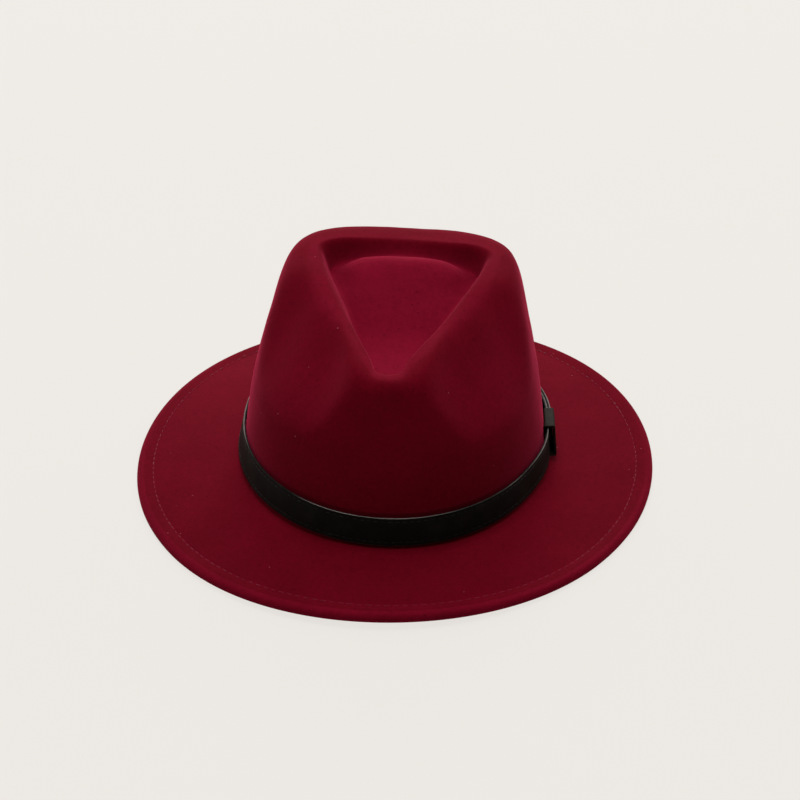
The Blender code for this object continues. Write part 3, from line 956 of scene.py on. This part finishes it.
def applied(made):
    """The object with its modifiers' result as its plain mesh."""
    bpy.context.view_layer.update()
    depsgraph = bpy.context.evaluated_depsgraph_get()
    mesh = bpy.data.meshes.new_from_object(made.evaluated_get(depsgraph), depsgraph=depsgraph)
    mesh.name = made.name
    made.modifiers.clear()
    made.data = mesh
    return made


def smoothed(made, sharp_from):
    """Smooth shading, apart from edges that are sharper than an angle in degrees."""
    made.data.shade_smooth()
    made.data.set_sharp_from_angle(angle=math.radians(sharp_from))


def turn_out(mesh, row_length=0, merged=0.0):
    """Turn all faces of a mesh out. First a mesh of open rows gets a face over each end, or points
    that lie closer together than a distance are merged."""
    work = bmesh.new()
    work.from_mesh(mesh)
    if row_length:
        work.verts.ensure_lookup_table()
        work.faces.new([work.verts[i] for i in range(row_length)])
        work.faces.new([work.verts[i] for i in range(-row_length, 0)])
    if merged:
        bmesh.ops.remove_doubles(work, verts=work.verts, dist=merged)
    bmesh.ops.recalc_face_normals(work, faces=work.faces)
    work.to_mesh(mesh)
    work.free()


def corner_arc(centre_out, centre_up, radius, first, points):
    """A quarter of a circle in section, from so many quarters on, as distances out and up."""
    arc = np.linspace(first, first + 1, points) * math.pi / 2
    return [(centre_out + radius * math.cos(a), centre_up + radius * math.sin(a)) for a in arc]


def ready(made, slot, *nodes):
    """The piece rides on the hat and stands for the frame's nodes. Its slot is not used."""
    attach(made, "root")
    if nodes:
        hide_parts(*nodes)


class FEDORA_OT_make_hood(bpy.types.Operator):
    """Make the felt hood: crown, brim and folded hem"""

    bl_idname = "fedora.make_hood"
    bl_label = "Make Hood"

    def execute(self, context):
        hood, strap, _ = settings_of(context)
        shape = HatShape(hood, strap)
        rings = shape.rings()
        mesh = grid_mesh("hood", [ring for ring, _, _ in rings], pole=shape.dent_pole())
        free = [np.broadcast_to(freedom, hood.columns) for _, freedom, _ in rings]
        # How much painted light each ring gets, stored on the points.
        painted_light = [np.broadcast_to(lightened, hood.columns) for _, _, lightened in rings]
        self.soften(mesh, np.append(np.concatenate(free), 1.0))
        set_points(mesh, "painted_light", np.append(np.concatenate(painted_light), 1.0))
        made = add_object("felt_hood", mesh, felt_material(hood))
        wall = made.modifiers.new("felt", "SOLIDIFY")
        wall.thickness = hood.felt
        wall.offset = -1
        wall.use_even_offset = True
        applied(made)
        smoothed(made, sharp_from=60)
        ready(made, "wool_felt", "felt_body")
        return {"FINISHED"}

    def soften(self, mesh, free):
        """The slow swells of felt that was blocked by hand."""
        mesh.update()
        points = np.empty(len(mesh.vertices) * 3)
        mesh.vertices.foreach_get("co", points)
        normals = np.empty(len(mesh.vertices) * 3)
        mesh.vertices.foreach_get("normal", normals)
        points, normals = points.reshape(-1, 3), normals.reshape(-1, 3)
        swell = np.array(
            [sum(noise.noise(Vector(p) * often) * far for often, far in SWELLS) for p in points]
        )
        points = points + normals * (swell * free)[:, None]
        mesh.vertices.foreach_set("co", points.ravel())
        mesh.update()


def stitch_tree(material):
    """A geometry tree that lays stitches along a row. The row is a line of edges with the way out
    of the surface in its attribute "face_out"."""
    group = bpy.data.node_groups.new("stitch_row", "GeometryNodeTree")
    group.interface.new_socket("Row", in_out="INPUT", socket_type="NodeSocketGeometry")
    for name in ("Pitch", "Length", "Radius", "Height"):
        socket = group.interface.new_socket(name, in_out="INPUT", socket_type="NodeSocketFloat")
        socket.subtype = "DISTANCE"
    group.interface.new_socket("Stitches", in_out="OUTPUT", socket_type="NodeSocketGeometry")
    tree = Tree(group)
    entry = tree.add("NodeGroupInput")
    pitch, reach = entry.out("Pitch"), entry.out("Length")
    radius, height = entry.out("Radius"), entry.out("Height")
    row = tree.add("GeometryNodeMeshToCurve", None, {"Mesh": entry.out("Row")})
    whole = tree.add("GeometryNodeCurveLength", None, {"Curve": row})
    points = tree.add(
        "GeometryNodeResampleCurve", {"mode": "COUNT"}, {"Curve": row, "Count": whole / pitch}
    )
    # A stitch is a low bow: its ends are sunk in the surface and its middle is drawn up.
    ends = [
        tree.add("ShaderNodeCombineXYZ", None, {"X": reach * side, "Z": height * -1.0})
        for side in (-0.5, 0.5)
    ]
    middle = tree.add("ShaderNodeCombineXYZ", None, {"Z": height * 2.6})
    bow = tree.add(
        "GeometryNodeCurveQuadraticBezier",
        None,
        {"Resolution": 6, "Start": ends[0], "Middle": middle, "End": ends[1]},
    )
    section = tree.add(
        "GeometryNodeCurvePrimitiveCircle", {"mode": "RADIUS"}, {"Resolution": 6, "Radius": radius}
    )
    stitch = tree.add(
        "GeometryNodeCurveToMesh", None, {"Curve": bow, "Profile Curve": section, "Fill Caps": True}
    )
    along = tree.add(
        "FunctionNodeAlignRotationToVector",
        {"axis": "X"},
        {"Vector": tree.add("GeometryNodeInputTangent")},
    )
    face_out = tree.add(
        "GeometryNodeInputNamedAttribute", {"data_type": "FLOAT_VECTOR"}, {"Name": "face_out"}
    )
    standing = tree.add(
        "FunctionNodeAlignRotationToVector",
        {"axis": "Z", "pivot_axis": "X"},
        {"Rotation": along, "Vector": face_out},
    )
    size = tree.add(
        "FunctionNodeRandomValue", {"data_type": "FLOAT"}, {2: 0.7, 3: 1.04, "Seed": 7}, 1
    )
    laid = tree.add(
        "GeometryNodeInstanceOnPoints",
        None,
        {"Points": points, "Instance": stitch, "Rotation": standing, "Scale": size},
    )
    single = tree.add("GeometryNodeRealizeInstances", None, {"Geometry": laid})
    smooth = tree.add("GeometryNodeSetShadeSmooth", None, {"Geometry": single})
    finished = tree.add(
        "GeometryNodeSetMaterial", None, {"Geometry": smooth, "Material": material}
    )
    tree.add("NodeGroupOutput", None, {"Stitches": finished})
    return group


def lay_stitches(name, points, face_out, settings, material, closed, height):
    """A row of stitches along the points, as a plain mesh."""
    count = len(points)
    edges = [(i, i + 1) for i in range(count - 1)] + [(count - 1, 0)] * closed
    mesh = bpy.data.meshes.new(name)
    mesh.from_pydata(np.asarray(points).tolist(), edges, [])
    set_points(mesh, "face_out", face_out, "FLOAT_VECTOR")
    made = add_object(name, mesh)
    modifier = made.modifiers.new("stitches", "NODES")
    modifier.node_group = stitch_tree(material)
    sizes = {
        "Pitch": settings.stitch_pitch,
        "Length": settings.stitch_length,
        "Radius": settings.thread_radius,
        "Height": height,
    }
    for item in modifier.node_group.interface.items_tree:
        if item.name in sizes:
            modifier[item.identifier] = sizes[item.name]
    return applied(made)


class FEDORA_OT_stitch_hem(bpy.types.Operator):
    """Sew the brim's folded edge, with a row of stitches on top and one below"""

    bl_idname = "fedora.stitch_hem"
    bl_label = "Stitch Hem"

    def execute(self, context):
        hood, strap, _ = settings_of(context)
        shape = HatShape(hood, strap)
        angle = np.linspace(-math.pi, math.pi, HEM_POINTS + 1)[:-1]
        thread = thread_material("hem_thread", hood.thread, roughness=0.6)
        above = shape.hem_top(angle, hood.stitch_inset)
        below = shape.hem_under(angle, hood.stitch_inset)
        for name, row, way in (("hem_stitches", above, 1), ("hem_stitches_below", below, -1)):
            face_out = np.broadcast_to([0, 0, way], row.shape)
            made = lay_stitches(name, row, face_out, hood, thread, closed=True, height=0.14 * MM)
            ready(made, "wool_felt")
        return {"FINISHED"}


def strap_section(strap):
    """The strap's outline in section: the distance out of its inner face, the height up it and
    whether it shows as cut leather there. The inner part of the upper cut edge has the dark
    finish instead, as painted shade."""
    thick, wide, inset, corner = strap.thickness, strap.width, strap.stitch_inset, STRAP_CORNER
    near_edge = np.array([0.25, 0.8, 1.3, 1.65, 1.9, 2.1, 2.3, 2.55, 3, 4]) * MM
    middle = np.linspace(5.5 * MM, wide - 5.5 * MM, 4)
    outline = []
    for up in (*near_edge, *middle, *(wide - near_edge[::-1])):
        seam = bell((up - inset) / SEAM_WIDTH) + bell((wide - up - inset) / SEAM_WIDTH)
        edge = bell(up / EDGE_WIDTH) + bell((wide - up) / EDGE_WIDTH)
        outline.append((thick - SEAM_DEPTH * seam - EDGE_DEPTH * edge, up, 0.0))
    cut = [min(turned_by, 1.0) for turned_by in np.linspace(0, math.pi / 2, 5)[1:]]
    outer_high = corner_arc(thick - corner, wide - corner, corner, 0, 5)[1:]
    outline += [(*point, share) for point, share in zip(outer_high, cut)]
    # Pale cut edge out to its middle, then the dark finish as painted shade.
    outline += [(PALE_TO, wide, 1.0), (PAINTED_SHADE_FROM, wide, 0.0)]
    outline += [(*point, 0.0) for point in corner_arc(corner, wide - corner, corner, 1, 4)]
    outline += [(0.0, up, 0.0) for up in np.linspace(wide, 0, 6)[1:-1]]
    outline += [(*point, 1.0) for point in corner_arc(corner, corner, corner, 2, 4)]
    outer_low = corner_arc(thick - corner, corner, corner, 3, 5)[:-1]
    outline += [(*point, share) for point, share in zip(outer_low, cut[::-1])]
    return outline


class FEDORA_OT_make_strap(bpy.types.Operator):
    """Make the leather strap, with its ends lapped at the keeper"""

    bl_idname = "fedora.make_strap"
    bl_label = "Make Strap"

    def execute(self, context):
        hood, strap, _ = settings_of(context)
        shape = HatShape(hood, strap)
        outline = strap_section(strap)
        run = shape.strap_run(strap.stations)
        rows = [
            np.array([foot + out * o + up * u for o, u, _ in outline]) for foot, up, out, _ in run
        ]
        mesh = grid_mesh("strap", rows)
        shown = [
            np.interp(math.degrees(math.atan2(foot[0], -foot[1])), *np.transpose(EDGE_SHOWN))
            for foot, _, _, _ in run
        ]
        set_points(mesh, "cut", [cut * share for share in shown for _, _, cut in outline])
        turn_out(mesh, row_length=len(outline))
        finish = leather_material(
            "strap_leather_grain", strap.leather, strap.raw_edge, grain=0.035 * MM, gloss=0.03
        )
        made = add_object("leather_strap", mesh, finish)
        smoothed(made, sharp_from=50)
        ready(made, "strap_leather", "leather_band")
        return {"FINISHED"}


class FEDORA_OT_stitch_strap(bpy.types.Operator):
    """Sew a row of stitches along both edges of the strap"""

    bl_idname = "fedora.stitch_strap"
    bl_label = "Stitch Strap"

    def execute(self, context):
        hood, strap, _ = settings_of(context)
        shape = HatShape(hood, strap)
        run = shape.strap_run(strap.stations)
        margin = 3 * MM
        run = [station for station in run if margin < station[3] < run[-1][3] - margin]
        thread = thread_material("strap_thread", strap.thread, roughness=0.5)
        lower, upper = strap.stitch_inset, strap.width - strap.stitch_inset
        outside = strap.thickness - SEAM_DEPTH
        for name, height in (("strap_stitches_low", lower), ("strap_stitches_high", upper)):
            row = [foot + up * height + out * outside for foot, up, out, _ in run]
            face_out = [out for _, _, out, _ in run]
            made = lay_stitches(name, row, face_out, strap, thread, closed=False, height=0.1 * MM)
            ready(made, "strap_leather")
        return {"FINISHED"}


class FEDORA_OT_make_keeper(bpy.types.Operator):
    """Make the leather loop that holds the strap's ends"""

    bl_idname = "fedora.make_keeper"
    bl_label = "Make Keeper"

    def execute(self, context):
        hood, strap, _ = settings_of(context)
        shape = HatShape(hood, strap)
        half = strap.keeper_width / 2 * shape.angle_per_length(strap.keeper_angle)
        stations = np.linspace(0, 1, 13)
        rows = []
        for section, shares in ((self.outside, stations), (self.inside, stations[::-1])):
            for share in shares:
                angle = strap.keeper_angle + half * (2 * share - 1)
                foot, up, out = shape.strap_frame(angle, shape.stand_off(angle) - CLEARANCE)
                foot = foot - up * CLEARANCE
                outline = section(strap, KEEPER_LOOSE * (1 - share) ** 2)
                rows.append(np.array([foot + out * o + up * u for o, u in outline]))
        rows.append(rows[0])
        mesh = grid_mesh("keeper", rows)
        turn_out(mesh, merged=0.001 * MM)
        finish = leather_material(
            "keeper_leather_grain", strap.keeper, strap.keeper, grain=0.045 * MM, gloss=0.012
        )
        made = add_object("leather_keeper", mesh, finish)
        rounding = made.modifiers.new("rounding", "BEVEL")
        rounding.width = 0.3 * MM
        rounding.segments = 3
        rounding.limit_method = "ANGLE"
        rounding.angle_limit = math.radians(50)
        applied(made)
        smoothed(made, sharp_from=50)
        ready(made, "keeper_leather", "band_keeper")
        return {"FINISHED"}

    def inside(self, strap, loose):
        """The loop's inner face in section, round both layers of the strap."""
        far = 2 * strap.thickness + 3 * CLEARANCE + loose
        high = strap.width + 2 * CLEARANCE + KEEPER_ROOM
        return self.rounded(0, far, 0, high, KEEPER_INNER_CORNER)

    def outside(self, strap, loose):
        """The loop's outer face in section."""
        thick = strap.keeper_thickness
        far = 2 * strap.thickness + 3 * CLEARANCE + loose + thick
        high = strap.width + 2 * CLEARANCE + KEEPER_ROOM + thick
        return self.rounded(-thick, far, -KEEPER_BELOW, high, KEEPER_OUTER_CORNER)

    def rounded(self, near, far, low, high, corner):
        """A rounded rectangle in section, as distances out and up."""
        return [
            *corner_arc(far - corner, low + corner, corner, -1, 6),
            *corner_arc(far - corner, high - corner, corner, 0, 6),
            *corner_arc(near + corner, high - corner, corner, 1, 6),
            *corner_arc(near + corner, low + corner, corner, 2, 6),
        ]


class FEDORA_OT_make_stage(bpy.types.Operator):
    """Make the floor, the lights and the camera"""

    bl_idname = "fedora.make_stage"
    bl_label = "Make Stage"

    def execute(self, context):
        hood, strap, stage = settings_of(context)
        context.scene.view_settings.view_transform = "Standard"
        self.make_floor(stage)
        self.make_lights(context, stage)
        self.make_camera(context, stage, HatShape(hood, strap).foot_z)
        return {"FINISHED"}

    def make_floor(self, stage):
        signs = ((-1, -1), (1, -1), (1, 1), (-1, 1))
        corners = [(x * FLOOR_HALF, y * FLOOR_HALF, -FLOOR_BELOW) for x, y in signs]
        mesh = bpy.data.meshes.new("floor")
        mesh.from_pydata(corners, [], [(0, 1, 2, 3)])
        constants = {
            "Base Color": (*stage.floor, 1),
            "Roughness": 1.0,
            "Specular IOR Level": 0.0,
            "Emission Color": (*stage.glow, 1),
            "Emission Strength": 1.0,
        }
        paper = new_material("light_table", constants, lambda tree, place: {})
        add_object("floor", mesh, paper)

    def make_lights(self, context, stage):
        world = bpy.data.worlds.new("room")
        world.use_nodes = True
        background = world.node_tree.nodes["Background"]
        background.inputs["Color"].default_value = (*stage.far, 1)
        context.scene.world = world
        seen_by = world.cycles_visibility
        seen_by.diffuse = seen_by.glossy = seen_by.transmission = seen_by.scatter = False
        for name, over, around, share in LAMPS:
            lamp = bpy.data.lights.new(name, "AREA")
            lamp.shape = "DISK"
            lamp.size = LAMP_SIZE
            lamp.energy = stage.lamp_power * share
            lamp.color = stage.lamp_colour
            made = add_object(name, lamp)
            made.location = LAMP_DISTANCE * direction(math.radians(around), math.radians(over))
            made.rotation_euler = (-made.location).to_track_quat("-Z", "Y").to_euler()
            made.visible_camera = False

    def make_camera(self, context, stage, foot_z):
        around, over, roll = stage.azimuth, stage.elevation, stage.roll
        back = direction(around, over)
        right = Vector((math.cos(around), math.sin(around), 0))
        up = back.cross(right)
        aim = Vector((0, 0, foot_z)) + right * stage.aim_right + up * stage.aim_up
        right, up = (
            right * math.cos(roll) + up * math.sin(roll),
            up * math.cos(roll) - right * math.sin(roll),
        )
        camera = bpy.data.cameras.new("camera")
        camera.lens = stage.focal_length
        camera.sensor_width = 36
        camera.clip_end = 50
        made = add_object("camera", camera)
        made.matrix_world = Matrix.Translation(aim + back * stage.distance) @ Matrix(
            (right, up, back)
        ).transposed().to_4x4()
        context.scene.camera = made


class FEDORA_PT_panel(bpy.types.Panel):
    """The fedora's sizes, colours and makers"""

    bl_idname = "FEDORA_PT_panel"
    bl_label = "Fedora"
    bl_space_type = "VIEW_3D"
    bl_region_type = "UI"
    bl_category = "Fedora"

    def draw(self, context):
        for maker in MAKERS:
            self.layout.operator(maker.bl_idname)
        for settings in settings_of(context):
            box = self.layout.box()
            for name in settings.__annotations__:
                box.prop(settings, name)


MAKERS = (
    FEDORA_OT_make_hood,
    FEDORA_OT_stitch_hem,
    FEDORA_OT_make_strap,
    FEDORA_OT_stitch_strap,
    FEDORA_OT_make_keeper,
    FEDORA_OT_make_stage,
)
SETTINGS = {
    "fedora_hood": HoodSettings,
    "fedora_strap": StrapSettings,
    "fedora_stage": StageSettings,
}


def register():
    for cls in (*SETTINGS.values(), *MAKERS, FEDORA_PT_panel):
        bpy.utils.register_class(cls)
    for name, settings in SETTINGS.items():
        setattr(bpy.types.Scene, name, PointerProperty(type=settings))


def unregister():
    for name in SETTINGS:
        delattr(bpy.types.Scene, name)
    for cls in (FEDORA_PT_panel, *MAKERS[::-1], *SETTINGS.values()):
        bpy.utils.unregister_class(cls)


def main():
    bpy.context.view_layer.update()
    register()
    bpy.ops.fedora.make_hood()
    bpy.ops.fedora.stitch_hem()
    bpy.ops.fedora.make_strap()
    bpy.ops.fedora.stitch_strap()
    bpy.ops.fedora.make_keeper()
    bpy.ops.fedora.make_stage()


if __name__ == "__main__":
    main()
